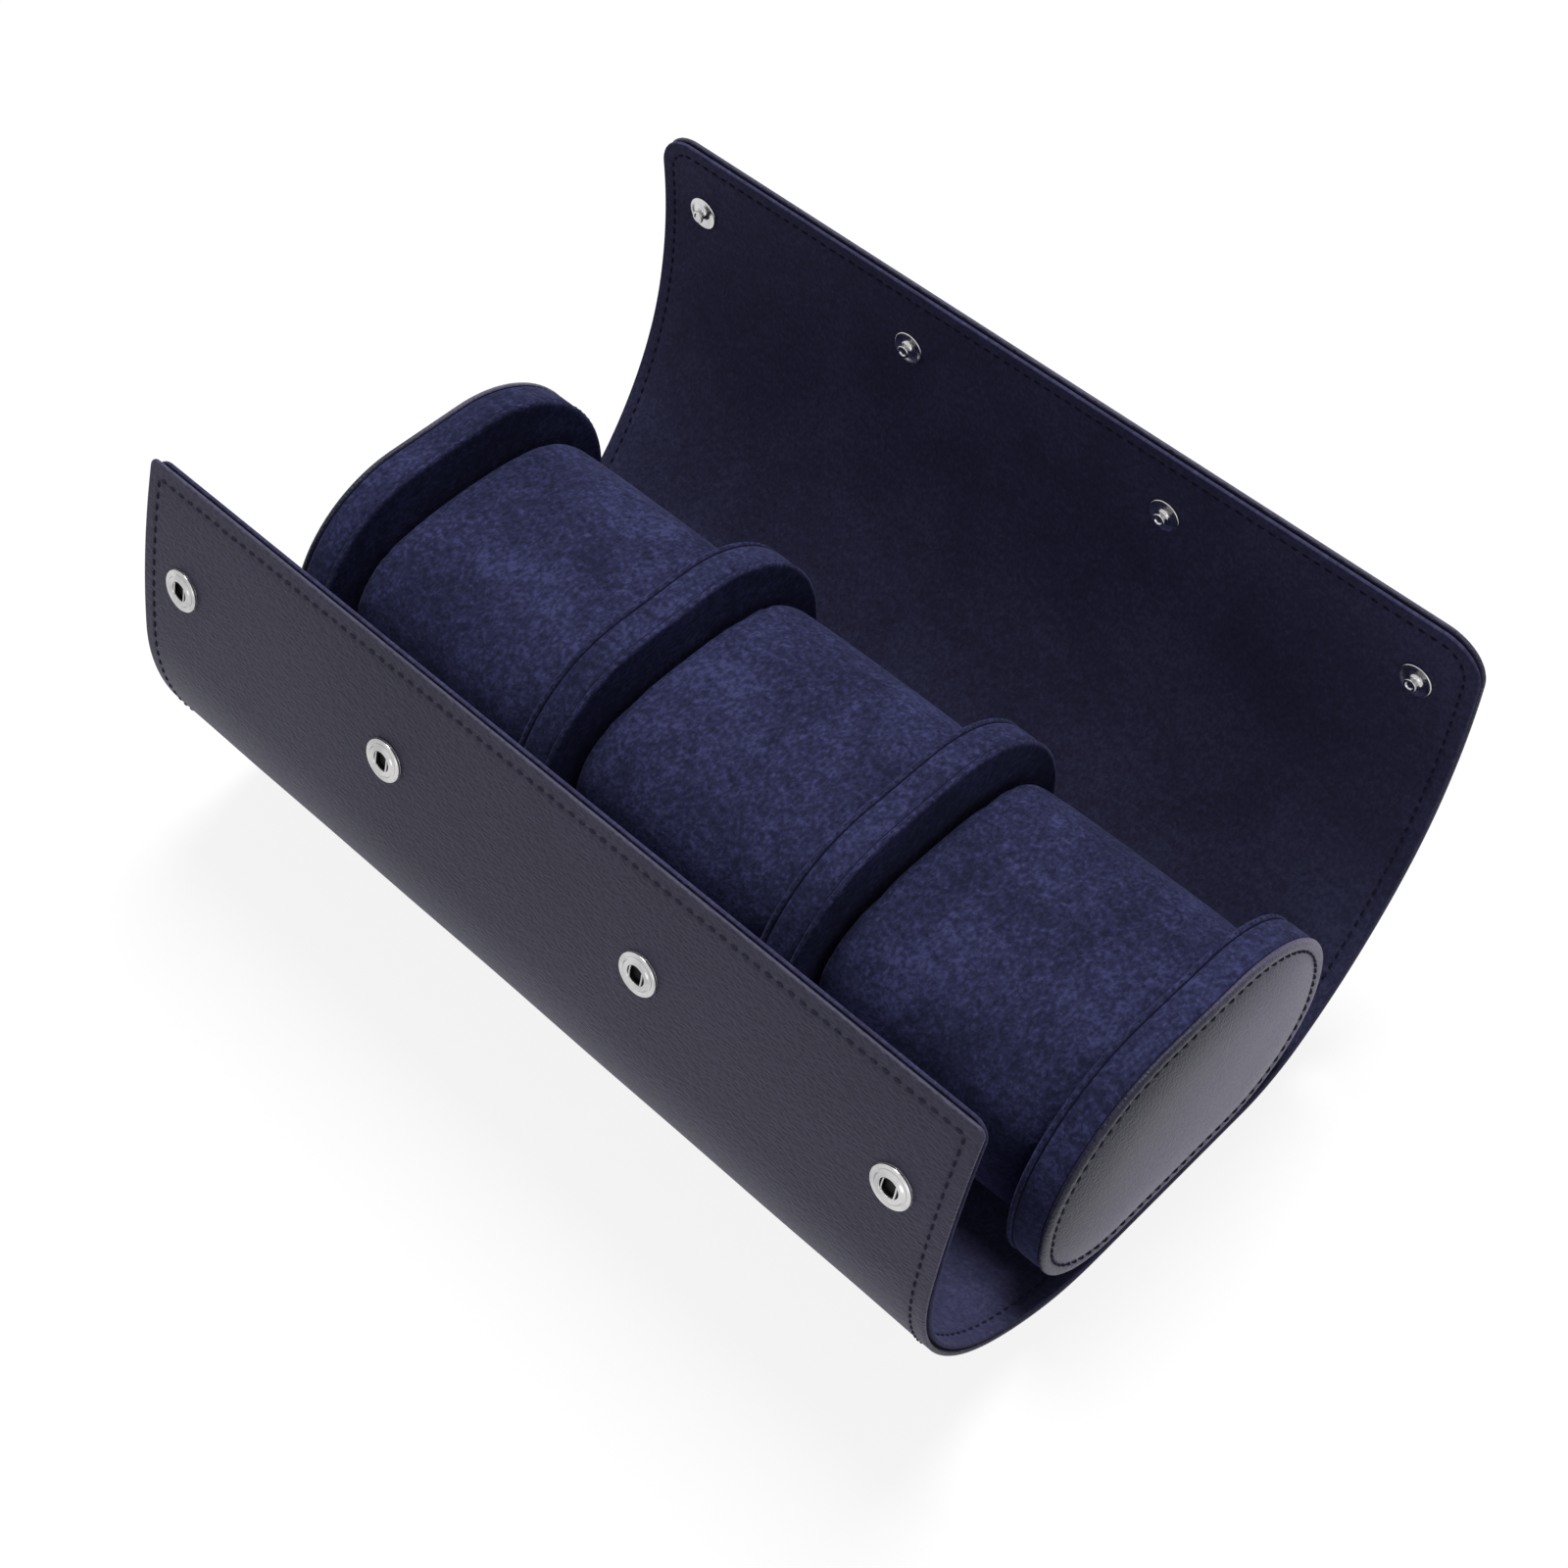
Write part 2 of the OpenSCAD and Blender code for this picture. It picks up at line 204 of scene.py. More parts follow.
def leather_material(name, low, high, kind, rough=(0.5, 0.62), painted_sheen=None):
    """Pebbled leather. The last argument, if given, is a painted sheen: a paler colour for the low
    rear part of a divider's face, standing in for reflected light.
    """
    mat, tree, bsdf = new_material(name)
    vector = coordinates(tree, kind)
    broad = noise(tree, vector, 9.0, 3.0, 0.55)
    fine = noise(tree, vector, 420.0, 4.0, 0.6)
    cells = voronoi(tree, stretch(tree, vector, (0.6, 1.25, 1.0), 0.6), 1300.0)
    tone = weighted(tree, (broad, 0.65), (fine, 0.35))
    colour = ramp(tree, tone, ((0.36, low), (0.64, high)))
    # Painted sheen: the face pales toward its low rear part, in place of the white floor's
    # reflection.
    if painted_sheen is not None:
        place = tree.nodes.new("ShaderNodeSeparateXYZ")
        tree.links.new(vector, place.inputs[0])
        lean = math_node(tree, "MULTIPLY", place.outputs["Y"], 0.7)
        sheen_height = math_node(tree, "SUBTRACT", place.outputs["Z"], lean)
        sheen_height = math_node(tree, "ADD", sheen_height, math_node(tree, "MULTIPLY", broad, 0.045))
        pale = ramp(tree, sheen_height, ((0.045, WHITE), (0.095, BLACK)))
        colour = mix_colour(tree, pale, colour, painted_sheen)
    flecks = ramp(tree, cells, ((0.05, (0.6, 0.6, 0.64)), (0.5, (1.08, 1.08, 1.08))))
    tree.links.new(mix_colour(tree, 1.0, colour, flecks, "MULTIPLY"), bsdf.inputs["Base Color"])
    tree.links.new(scaled(tree, fine, rough[1] - rough[0], rough[0]), bsdf.inputs["Roughness"])
    pebbles = bump(tree, cells, 0.6, 0.0003)
    creases = bump(tree, fine, 0.3, 0.0004, pebbles)
    tree.links.new(creases, bsdf.inputs["Normal"])
    bsdf.inputs["Sheen Weight"].default_value = 0.05
    bsdf.inputs["Sheen Roughness"].default_value = 0.45
    bsdf.inputs["Sheen Tint"].default_value = (0.75, 0.78, 1.0, 1.0)
    bsdf.inputs["Specular IOR Level"].default_value = 0.24
    return mat


def suede_material(name, low, middle, high, kind, sheen):
    """Napped suede: mottled in three tones, with a few light specks."""
    mat, tree, bsdf = new_material(name)
    vector = coordinates(tree, kind)
    broad = noise(tree, vector, 30.0, 3.0, 0.6, 0.6)
    blotch = noise(tree, stretch(tree, vector, (1.0, 1.5, 1.0), 0.5), 330.0, 4.0, 0.7, 0.5)
    nap = noise(tree, stretch(tree, vector, (1.0, 0.6, 1.0), -0.6), 1150.0, 2.0, 0.6)
    tone = weighted(tree, (broad, 0.3), (blotch, 0.34), (nap, 0.36))
    colour = ramp(tree, tone, ((0.4, low), (0.5, middle), (0.6, high)))
    specks = ramp(tree, voronoi(tree, vector, 300.0), ((0.06, WHITE), (0.16, BLACK)))
    lit = math_node(tree, "MULTIPLY", specks, 0.45)
    tree.links.new(mix_colour(tree, lit, colour, high), bsdf.inputs["Base Color"])
    tree.links.new(scaled(tree, blotch, 0.12, 0.84), bsdf.inputs["Roughness"])
    fibres = bump(tree, nap, 0.5, 0.0003)
    clumps = bump(tree, blotch, 0.35, 0.0006, fibres)
    tree.links.new(clumps, bsdf.inputs["Normal"])
    bsdf.inputs["Sheen Weight"].default_value = sheen
    bsdf.inputs["Sheen Roughness"].default_value = 0.38
    bsdf.inputs["Sheen Tint"].default_value = (0.5, 0.53, 0.85, 1.0)
    bsdf.inputs["Specular IOR Level"].default_value = 0.12
    return mat


def metal_material(name, low, high, rough):
    mat, tree, bsdf = new_material(name)
    vector = coordinates(tree, "Object")
    smears = noise(tree, vector, 160.0, 3.0, 0.6)
    tree.links.new(ramp(tree, smears, ((0.35, low), (0.65, high))), bsdf.inputs["Base Color"])
    bsdf.inputs["Metallic"].default_value = 1.0
    tree.links.new(scaled(tree, smears, 0.12, rough), bsdf.inputs["Roughness"])
    scratches = noise(tree, stretch(tree, vector, (1.0, 6.0, 1.0), 0.4), 900.0, 2.0, 0.5)
    tree.links.new(bump(tree, scratches, 0.06, 0.0001), bsdf.inputs["Normal"])
    return mat


def plain_material(name, low, high, scale, rough, strength):
    mat, tree, bsdf = new_material(name)
    vector = coordinates(tree, "Object")
    grain = noise(tree, vector, scale, 3.0, 0.6)
    tree.links.new(ramp(tree, grain, ((0.35, low), (0.65, high))), bsdf.inputs["Base Color"])
    tree.links.new(scaled(tree, grain, 0.1, rough), bsdf.inputs["Roughness"])
    tree.links.new(bump(tree, grain, strength, 0.0002), bsdf.inputs["Normal"])
    bsdf.inputs["Specular IOR Level"].default_value = 0.1
    return mat


LEATHER = leather_material("wrap_leather", srgb(59, 58, 78), srgb(76, 74, 96), "UV")
# Leather of the end faces, darker than the wrap's, with painted sheen paling the low rear part of
# each face.
END_LEATHER = leather_material(
    "end_leather", srgb(32, 32, 50), srgb(46, 46, 66), "Object", (0.38, 0.5), srgb(122, 117, 142)
)
LINING = suede_material(
    "lining_suede", srgb(48, 48, 73), srgb(57, 57, 87), srgb(70, 70, 103), "UV", 0.1
)
SUEDE = suede_material(
    "pillow_suede", srgb(27, 29, 53), srgb(42, 44, 75), srgb(63, 65, 106), "Object", 0.14
)
CHROME = metal_material("nickel", (0.46, 0.455, 0.46), (0.64, 0.63, 0.63), 0.15)
# Near-black nickel: painted shade, put on the floors, sleeves and plugs inside the snap holes.
PAINTED_SHADE_METAL = metal_material("nickel_in_shade", (0.015, 0.015, 0.017), (0.03, 0.03, 0.032), 0.5)
THREAD = plain_material("grey_navy_thread", srgb(46, 45, 60), srgb(62, 61, 78), 2600.0, 0.7, 0.4)
SUEDE_THREAD = plain_material(
    "blue_thread", srgb(30, 31, 50), srgb(42, 43, 68), 2600.0, 0.85, 0.4
)
SEAM = plain_material("seam_cord", srgb(15, 16, 32), srgb(24, 25, 48), 1800.0, 0.9, 0.4)
FOAM = plain_material("pale_foam", srgb(158, 156, 148), srgb(176, 174, 166), 900.0, 0.9, 0.4)
BOARD = plain_material("grey_board", srgb(34, 34, 40), srgb(48, 48, 56), 700.0, 0.85, 0.3)


# Mesh helpers.
def make(name, points, faces, mat, sharp=38.0, uvs=None):
    """A new object from points in millimetres. Doubles are merged, and normals point outward."""
    mesh = bpy.data.meshes.new(name)
    mesh.from_pydata([tuple(c * MM for c in p) for p in points], [], faces)
    if uvs is not None:
        layer = mesh.uv_layers.new(name="flat")
        for loop in mesh.loops:
            u, v = uvs[loop.vertex_index]
            layer.data[loop.index].uv = (u * MM, v * MM)
    bm = bmesh.new()
    bm.from_mesh(mesh)
    bmesh.ops.remove_doubles(bm, verts=bm.verts, dist=2e-6)
    bmesh.ops.dissolve_degenerate(bm, edges=bm.edges, dist=1e-7)
    bmesh.ops.recalc_face_normals(bm, faces=bm.faces)
    bm.to_mesh(mesh)
    bm.free()
    mesh.polygons.foreach_set("use_smooth", [True] * len(mesh.polygons))
    mesh.set_sharp_from_angle(angle=math.radians(sharp))
    obj = bpy.data.objects.new(name, mesh)
    bpy.context.scene.collection.objects.link(obj)
    obj.data.materials.append(mat)
    return obj


def grid_faces(rows, columns, closed=False):
    """Faces of a grid of points in rows. closed joins each row's last point to its first."""
    faces = []
    last = columns if closed else columns - 1
    for i in range(rows - 1):
        for j in range(last):
            a = i * columns + j
            b = i * columns + (j + 1) % columns
            faces.append((a, b, b + columns, a + columns))
    return faces


def tube_faces(rings, sides):
    """Faces of a tube with closed ends."""
    faces = grid_faces(rings, sides, closed=True)
    faces.append(tuple(range(sides)))
    faces.append(tuple(reversed(range((rings - 1) * sides, rings * sides))))
    return faces


def slab_faces(rows, columns):
    """Faces of a closed slab: two grids of points, one for each side, and four edges between."""
    total = rows * columns
    lower = grid_faces(rows, columns)
    faces = lower + [tuple(v + total for v in reversed(face)) for face in lower]
    for row in (0, rows - 1):
        for j in range(columns - 1):
            a = row * columns + j
            faces.append((a, a + 1, a + 1 + total, a + total))
    for column in (0, columns - 1):
        for i in range(rows - 1):
            a, b = i * columns + column, (i + 1) * columns + column
            faces.append((a, b, b + total, a + total))
    return faces


def lathe(profile, segments, centre, axes):
    """Points and faces of a turned ring or disc. profile is a loop of (radius, height)."""
    u, v, w = axes
    points = []
    for k in range(segments):
        angle = 2 * math.pi * k / segments
        across = u * math.cos(angle) + v * math.sin(angle)
        points += [tuple(centre + across * r + w * h) for r, h in profile]
    n = len(profile)
    faces = []
    for k in range(segments):
        for j in range(n):
            a, b = k * n + j, k * n + (j + 1) % n
            c, d = ((k + 1) % segments) * n + (j + 1) % n, ((k + 1) % segments) * n + j
            faces.append((a, b, c, d))
    return points, faces


# The wrap.
def middle_surface(side, s):
    """Point (y, z) and heading of the middle surface, s from the fold line toward the edge."""
    if s <= 0:
        return HINGE_Y + s, MIDDLE_Z, 0.0
    y, z, heading = HINGE_Y, MIDDLE_Z, 0.0
    left = s
    for length, bend in zip(LENGTHS[side], BENDS[side]):
        step = min(left, length)
        turn = math.radians(bend) * step / length
        radius = length / math.radians(bend)
        y += radius * (math.sin(heading + turn) - math.sin(heading))
        z += radius * (math.cos(heading) - math.cos(heading + turn))
        heading += turn
        left -= step
        if left <= 1e-9:
            break
    return y, z, heading


def on_wrap(side, x, s, height):
    """Point at a height above the middle surface, positive toward the inside of the roll."""
    y, z, heading = middle_surface(side, s)
    return (x, SIGN[side] * (y - height * math.sin(heading)), z + height * math.cos(heading))


def wrap_axes(side, s):
    """Directions along the roll, along the sheet toward its edge, and toward the inside."""
    heading = middle_surface(side, s)[2]
    along = Vector((0, SIGN[side] * math.cos(heading), math.sin(heading)))
    inward = Vector((0, -SIGN[side] * math.sin(heading), math.cos(heading)))
    return Vector((1, 0, 0)), along, inward


def layer_outline(layer, side):
    """Half width, end and corner radius of one layer on one flap."""
    border = LAYERS[layer]["border"]
    return HALF_LENGTH - border, LAST_S[side] - border, LAYERS[layer]["corner"][side]


def half_width(outline, s):
    """Half width of a layer at s, less where its corner is rounded."""
    half, end, r = outline
    d = end - s
    if d >= r:
        return half
    return half - r + math.sqrt(max(0.0, r * r - (r - d) ** 2))


def edge_distance(outline, x, s):
    """Distance of a point of a layer from the layer's own edge."""
    half, end, r = outline
    across = half - abs(x)
    along = end - s
    if across < r and along < r:
        return r - math.hypot(r - across, r - along)
    return min(across, along)


def wrap_rows(side, outline, s0, s1):
    """Rows of points from s0 to s1: even ones, and close ones near the flap's edge."""
    if s1 < LAST_S[side] - 1e-6:
        return list(np.linspace(s0, s1, max(3, int((s1 - s0) / 1.25) + 1)))
    _, end, r = outline
    near = {end - step for step in EDGE_STEPS}
    near |= {end - r + r * math.sin(math.radians(a)) for a in np.linspace(0, 90, 13)}
    first_close = min(near)
    rows = list(np.linspace(s0, first_close, max(2, int((first_close - s0) / 1.6) + 1)))[:-1]
    last = -1e9
    for s in sorted(near):
        if s - last > 0.03:
            rows.append(s)
            last = s
    rows[-1] = end
    return rows


def seam_dip(d, depth):
    """Height lost where the thread pulls the sheet in, d from the edge."""
    return depth * math.exp(-(((d - SEAM_INSET) / 0.5) ** 2))


# Heights are over the middle surface, and a border is how far a layer stays inside the wrap's edge.
LAYERS = {
    "leather": {
        "heights": (-SKIN, -0.3),
        "rounding": 0.55,
        "slot": "leather",
        "material": LEATHER,
        "border": 0.0,
        "corner": {"front": 2.0, "rear": 11.0},
    },
    "stiffener": {
        "heights": (-0.28, 0.38),
        "rounding": 0.1,
        "slot": "board",
        "material": BOARD,
        "border": 1.3,
        "corner": {"front": 2.5, "rear": 9.7},
    },
    "lining": {
        "heights": (0.4, SKIN),
        "rounding": 0.35,
        "slot": "suede",
        "material": LINING,
        "border": 0.1,
        "corner": {"front": 4.2, "rear": 10.6},
    },
}


def layer_heights(layer, outline, x, s):
    """Heights of a layer's two sides, with the rounded edge, the seam's dent and a slight wave."""
    low, high = LAYERS[layer]["heights"]
    d = edge_distance(outline, x, s)
    t = min(max(d, 0.0) / LAYERS[layer]["rounding"], 1.0)
    lift = 1.0 - math.sqrt(max(0.0, 1.0 - (1.0 - t) ** 2))
    middle, half = (low + high) / 2, (high - low) / 2
    bottom, top = middle - half * (1.0 - lift), middle + half * (1.0 - lift)
    d += LAYERS[layer]["border"]
    if layer == "leather":
        bottom += seam_dip(d, SEAM_DEPTH)
        wave = 0.05 * math.sin(x * 0.047 + s * 0.031) + 0.04 * math.sin(x * 0.11 - s * 0.07 + 1.0)
        bottom += wave * min(1.0, max(0.0, (d - 5) / 20))
    elif layer == "lining":
        top -= seam_dip(d, SEAM_DEPTH)
    return bottom, top


def wrap_piece(side, layer, k, s0, s1):
    """One closed length of one layer. Its ends are flat, and meet the next length's."""
    outline = layer_outline(layer, side)
    rows = wrap_rows(side, outline, s0, s1)
    points, uvs = [], []
    for level in (0, 1):
        for s in rows:
            x_edge = half_width(outline, s)
            shrink = min(1.0, (x_edge - EDGE_STEPS[-1]) / (HALF_LENGTH - EDGE_STEPS[-1]))
            xs = [-x_edge + step for step in EDGE_STEPS]
            xs += [x * shrink for x in INNER_COLUMNS]
            xs += [x_edge - step for step in reversed(EDGE_STEPS)]
            for x in xs:
                heights = layer_heights(layer, outline, x, s)
                points.append(on_wrap(side, x, s, heights[level]))
                uvs.append((x, SIGN[side] * (s + HINGE_Y)))
    faces = slab_faces(len(rows), len(xs))
    spec = LAYERS[layer]
    return make(f"{side}_{layer}_{k}", points, faces, spec["material"], 40.0, uvs)


def strip_bounds(side):
    """Distances at which the wrap is split: the middle of each strip."""
    marks = [-BASE_SPLIT]
    at = 0.0
    for length in LENGTHS[side]:
        marks.append(at + length / 2)
        at += length
    marks.append(LAST_S[side])
    return marks


def hold(obj, side, k, marks):
    """k is 1 for the length that bends between the base and strip 1, and 6 for the edge."""
    if k > len(LENGTHS[side]):
        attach(obj, f"{side}_flap_{k - 1}")
        return
    start = Vector(on_wrap(side, 0, marks[k - 1], 0)) * MM
    end = Vector(on_wrap(side, 0, marks[k], 0)) * MM
    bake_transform(obj)


def build_wrap():
    for side in ("front", "rear"):
        marks = strip_bounds(side)
        for layer in LAYERS:
            for k in range(1, len(marks)):
                obj = wrap_piece(side, layer, k, marks[k - 1], marks[k])
                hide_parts(f"{side}_flap_{layer}_{min(k, len(LENGTHS[side]))}")
                hold(obj, side, k, marks)


def base_piece(layer):
    """The flat length under the dividers, between the two lengths that bend up from it."""
    outline = layer_outline(layer, "rear")
    half = HINGE_Y - BASE_SPLIT
    rows = list(np.linspace(-half, half, 23))
    points, uvs = [], []
    xs = [-outline[0] + step for step in EDGE_STEPS] + INNER_COLUMNS
    xs += [outline[0] - step for step in reversed(EDGE_STEPS)]
    for level in (0, 1):
        for y in rows:
            for x in xs:
                height = layer_heights(layer, outline, x, y - HINGE_Y)[level]
                points.append((x, y, MIDDLE_Z + height))
                uvs.append((x, y))
    faces = slab_faces(len(rows), len(xs))
    spec = LAYERS[layer]
    obj = make(f"base_{layer}_middle", points, faces, spec["material"], 40.0, uvs)
    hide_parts(f"base_{layer}")
    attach(obj, "base")


# Stitches.
STITCH_PITCH = 3.0
STITCH_LENGTH = 2.1
STITCH_R = 0.3
STITCH_HEIGHT = 1.25  # of the stitches' seats, from the middle surface
THREAD_SHARP = 60.0


def stitch(centre, along, across, up, length=STITCH_LENGTH, radius=STITCH_R):
    """A short thread that comes out of the sheet, lies on it and goes back in."""
    points = []
    rings, sides = 6, 6
    for i in range(rings):
        t = i / (rings - 1) * 2 - 1
        rise = radius * (0.55 - 1.5 * t ** 4)
        thin = radius * (1.0 - 0.35 * t ** 2)
        middle = centre + along * (t * length / 2) + up * rise
        for j in range(sides):
            angle = 2 * math.pi * j / sides
            aside, rise_by = across * (math.cos(angle) * thin), up * (math.sin(angle) * thin)
            points.append(tuple(middle + aside + rise_by))
    return points, tube_faces(rings, sides)


def merge(parts):
    """One list of points and one of faces from many."""
    points, faces = [], []
    for p, f in parts:
        first = len(points)
        points += p
        faces += [tuple(v + first for v in face) for face in f]
    return points, faces


def seam_path(side):
    """Spots (x, s, direction) of the stitches along a flap's edges, up both sides and across."""
    corner = max(LAYERS["leather"]["corner"][side] - SEAM_INSET, 0.0)
    end = LAST_S[side] - SEAM_INSET
    x_side = HALF_LENGTH - SEAM_INSET
    spots = []
    n = int(round((end - corner + BASE_SPLIT) / STITCH_PITCH))
    for i in range(n):
        s = -BASE_SPLIT + (i + 0.5) * (end - corner + BASE_SPLIT) / n
        spots += [(x_side, s, (0.0, 1.0)), (-x_side, s, (0.0, 1.0))]
    if corner > 2:
        m = max(2, int(round(corner * math.pi / 2 / STITCH_PITCH)))
        for i in range(m):
            a = (i + 0.5) / m * math.pi / 2
            x = x_side - corner + corner * math.cos(a)
            s = end - corner + corner * math.sin(a)
            spots += [(x, s, (-math.sin(a), math.cos(a))), (-x, s, (math.sin(a), math.cos(a)))]
    n = int(round(2 * (x_side - corner) / STITCH_PITCH))
    for i in range(n):
        x = -(x_side - corner) + (i + 0.5) * 2 * (x_side - corner) / n
        spots.append((x, end, (1.0, 0.0)))
    return spots


STITCHED_FACES = ((-1, "outer", THREAD), (1, "lining", SUEDE_THREAD))


def build_stitches():
    """Thread on both faces of the wrap, split where the wrap is, and held as the wrap's lengths
    are.
    """
    for side in ("front", "rear"):
        marks = strip_bounds(side)
        spots = seam_path(side)
        for k in range(1, len(marks)):
            for sense, word, mat in STITCHED_FACES:
                parts = []
                for x, s, (dx, ds) in spots:
                    if not (marks[k - 1] + 1e-6 < s <= marks[k] + 1e-6):
                        continue
                    e_x, e_s, inward = wrap_axes(side, s)
                    along = (e_x * dx + e_s * ds).normalized()
                    centre = Vector(on_wrap(side, x, s, sense * STITCH_HEIGHT))
                    up = inward * sense
                    parts.append(stitch(centre, along, up.cross(along), up))
                points, faces = merge(parts)
                obj = make(f"{side}_{word}_thread_{k}", points, faces, mat, THREAD_SHARP)
                hold(obj, side, k, marks)
    count = 9
    half = HINGE_Y - BASE_SPLIT
    for sense, word, mat in STITCHED_FACES:
        parts = []
        for i in range(count):
            y = -half + (i + 0.5) * 2 * half / count
            for x in (-HALF_LENGTH + SEAM_INSET, HALF_LENGTH - SEAM_INSET):
                up = Vector((0, 0, sense))
                along = Vector((0, 1, 0))
                centre = Vector((x, y, MIDDLE_Z + sense * STITCH_HEIGHT))
                parts.append(stitch(centre, along, up.cross(along), up))
        points, faces = merge(parts)
        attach(make(f"base_{word}_thread", points, faces, mat, THREAD_SHARP), "base")


# Dividers.
def divider_outline(count=216):
    """Points (y, z) and outward normals, evenly spaced along the outline of a divider."""
    spots = []
    straight = DIVIDER_H - LOWER_R - UPPER_R
    flat_low = 2 * (DIVIDER_HALF - LOWER_R)
    flat_high = 2 * (DIVIDER_HALF - UPPER_R)
    runs = [
        ("line", flat_low, (-(DIVIDER_HALF - LOWER_R), 0.0), (1, 0)),
        ("arc", LOWER_R, (DIVIDER_HALF - LOWER_R, LOWER_R), -90),
        ("line", straight, (DIVIDER_HALF, LOWER_R), (0, 1)),
        ("arc", UPPER_R, (DIVIDER_HALF - UPPER_R, DIVIDER_H - UPPER_R), 0),
        ("line", flat_high, (DIVIDER_HALF - UPPER_R, DIVIDER_H), (-1, 0)),
        ("arc", UPPER_R, (-(DIVIDER_HALF - UPPER_R), DIVIDER_H - UPPER_R), 90),
        ("line", straight, (-DIVIDER_HALF, DIVIDER_H - UPPER_R), (0, -1)),
        ("arc", LOWER_R, (-(DIVIDER_HALF - LOWER_R), LOWER_R), 180),
    ]
    lengths = [run[1] if run[0] == "line" else run[1] * math.pi / 2 for run in runs]
    total = sum(lengths)
    for i in range(count):
        at = total * i / count
        for run, length in zip(runs, lengths):
            if at <= length:
                break
            at -= length
        if run[0] == "line":
            (y, z), (dy, dz) = run[2], run[3]
            spots.append((y + dy * at, z + dz * at, dz, -dy))
        else:
            angle = math.radians(run[3]) + at / run[1]
            (cy, cz), r = run[2], run[1]
            ny, nz = math.cos(angle), math.sin(angle)
            spots.append((cy + r * ny, cz + r * nz, ny, nz))
    return spots


OUTLINE = divider_outline()
OUTLINE_CENTRE = (0.0, 33.0)
STOP_INSET = 18.0  # past this inset the rings close toward the centre
CLOSING = 15.0  # and they meet there after this much more
BAND_GAP = 0.12
BAND_INSET = 0.62
CORD_R = 0.24


def outline_ring(x, inset):
    """Ring of points at an inset from the divider's outline."""
    ring = []
    for y, z, ny, nz in OUTLINE:
        d = min(inset, STOP_INSET)
        py, pz = y - ny * d, z - nz * d
        if inset > STOP_INSET:
            f = max(0.0, 1.0 - (inset - STOP_INSET) / CLOSING)
            py = OUTLINE_CENTRE[0] + (py - OUTLINE_CENTRE[0]) * f
            pz = OUTLINE_CENTRE[1] + (pz - OUTLINE_CENTRE[1]) * f
        ring.append((x, py, WRAP_T + pz))
    return ring


def swept(name, profile, mat, capped, sharp=50.0):
    """Sweeps (x, inset) points round the outline.

    capped closes both ends at the middle. Otherwise the profile is a loop.
    """
    points = []
    for x, inset in profile:
        points += outline_ring(x, inset)
    n = len(OUTLINE)
    if capped:
        faces = tube_faces(len(profile), n)
    else:
        faces = grid_faces(len(profile), n, closed=True)
        last = (len(profile) - 1) * n
        for j in range(n):
            faces.append((last + j, last + (j + 1) % n, (j + 1) % n, j))
    return make(name, points, faces, mat, sharp)


def face_profile(leather):
    """Section of a face, as (height over its seat, inset): the rolled rim and the padded field."""
    rim = [(0.0, 30.0), (0.0, 6.0), (0.0, 0.9), (0.06, 0.42), (0.28, 0.1), (0.6, 0.0), (0.95, 0.05)]
    rim += [(1.28, 0.25), (1.5, 0.6), (1.6, 1.05), (1.62, 1.6)]
    if leather:
        field = [(1.5, 2.3), (1.22, 2.75), (1.15, 3.0), (1.24, 3.3), (1.46, 3.9), (1.78, 5.0)]
        field += [(2.2, 7.0), (2.62, 10.0), (2.92, 14.0), (3.04, 18.0), (3.1, 24.0)]
        field += [(3.12, 30.0), (3.12, 32.6)]
    else:
        field = [(1.58, 2.6), (1.56, 4.0), (1.6, 7.0), (1.66, 11.0), (1.7, 18.0)]
        field += [(1.72, 25.0), (1.72, 32.6)]
    return rim + field


def along_outline(inset, pitch):
    """Spots (y, z), their tangents and their normals, spaced along the outline at an inset."""
    ring = [(y - ny * inset, z - nz * inset) for y, z, ny, nz in OUTLINE]
    steps = [math.dist(ring[i], ring[(i + 1) % len(ring)]) for i in range(len(ring))]
    total = sum(steps)
    count = int(total / pitch)
    spots, i, walked = [], 0, 0.0
    for k in range(count):
        at = total * (k + 0.5) / count
        while walked + steps[i] < at:
            walked += steps[i]
            i += 1
        f = (at - walked) / steps[i]
        (ay, az), (by, bz) = ring[i], ring[(i + 1) % len(ring)]
        ty, tz = (by - ay) / steps[i], (bz - az) / steps[i]
        spots.append((ay + (by - ay) * f, az + (bz - az) * f, ty, tz, tz, -ty))
    return spots


def divider_band(name, x0, width):
    """The suede band round the rim, a little convex, with its inner side hidden under the faces."""
    band = []
    for t in np.linspace(-1, 1, 15):
        crown = BAND_INSET * (1 - abs(t) ** 6)
        band.append((x0 + t * (width - BAND_GAP), BAND_INSET - crown * 0.85))
    band += [(x0 + width - BAND_GAP, 1.75), (x0 - width + BAND_GAP, 1.75)]
    obj = swept(f"{name}_rim_band", band, SUEDE, False)
    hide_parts(f"{name}_band")
    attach(obj, "base")


def face_stitches(seat, side, leather):
    """Stitches of a face: in the seam of a leather face, and round the rim of a suede one."""
    parts = []
    inset, pitch = (3.0, 3.0) if leather else (0.0, 2.6)
    for y, z, ty, tz, ny, nz in along_outline(inset, pitch):
        along = Vector((0, ty, tz))
        if leather:
            centre = Vector((seat + side * 1.4, y, WRAP_T + z))
            up = Vector((side, 0, 0))
            parts.append(stitch(centre, along, up.cross(along), up, 2.0, 0.28))
        else:
            centre = Vector((seat + side * 0.62, y - ny * 0.12, WRAP_T + z - nz * 0.12))
            up = Vector((0, ny, nz))
            parts.append(stitch(centre, along, up.cross(along), up, 1.5, 0.16))
    return merge(parts)


def seam_cord(seat, side):
    """Section of the cord between a face and the band, as (x, inset)."""
    return [
        (seat + side * (0.02 + CORD_R * math.cos(a)), BAND_INSET - CORD_R * math.sin(a))
        for a in np.linspace(0, 2 * math.pi, 9)[:-1]
    ]


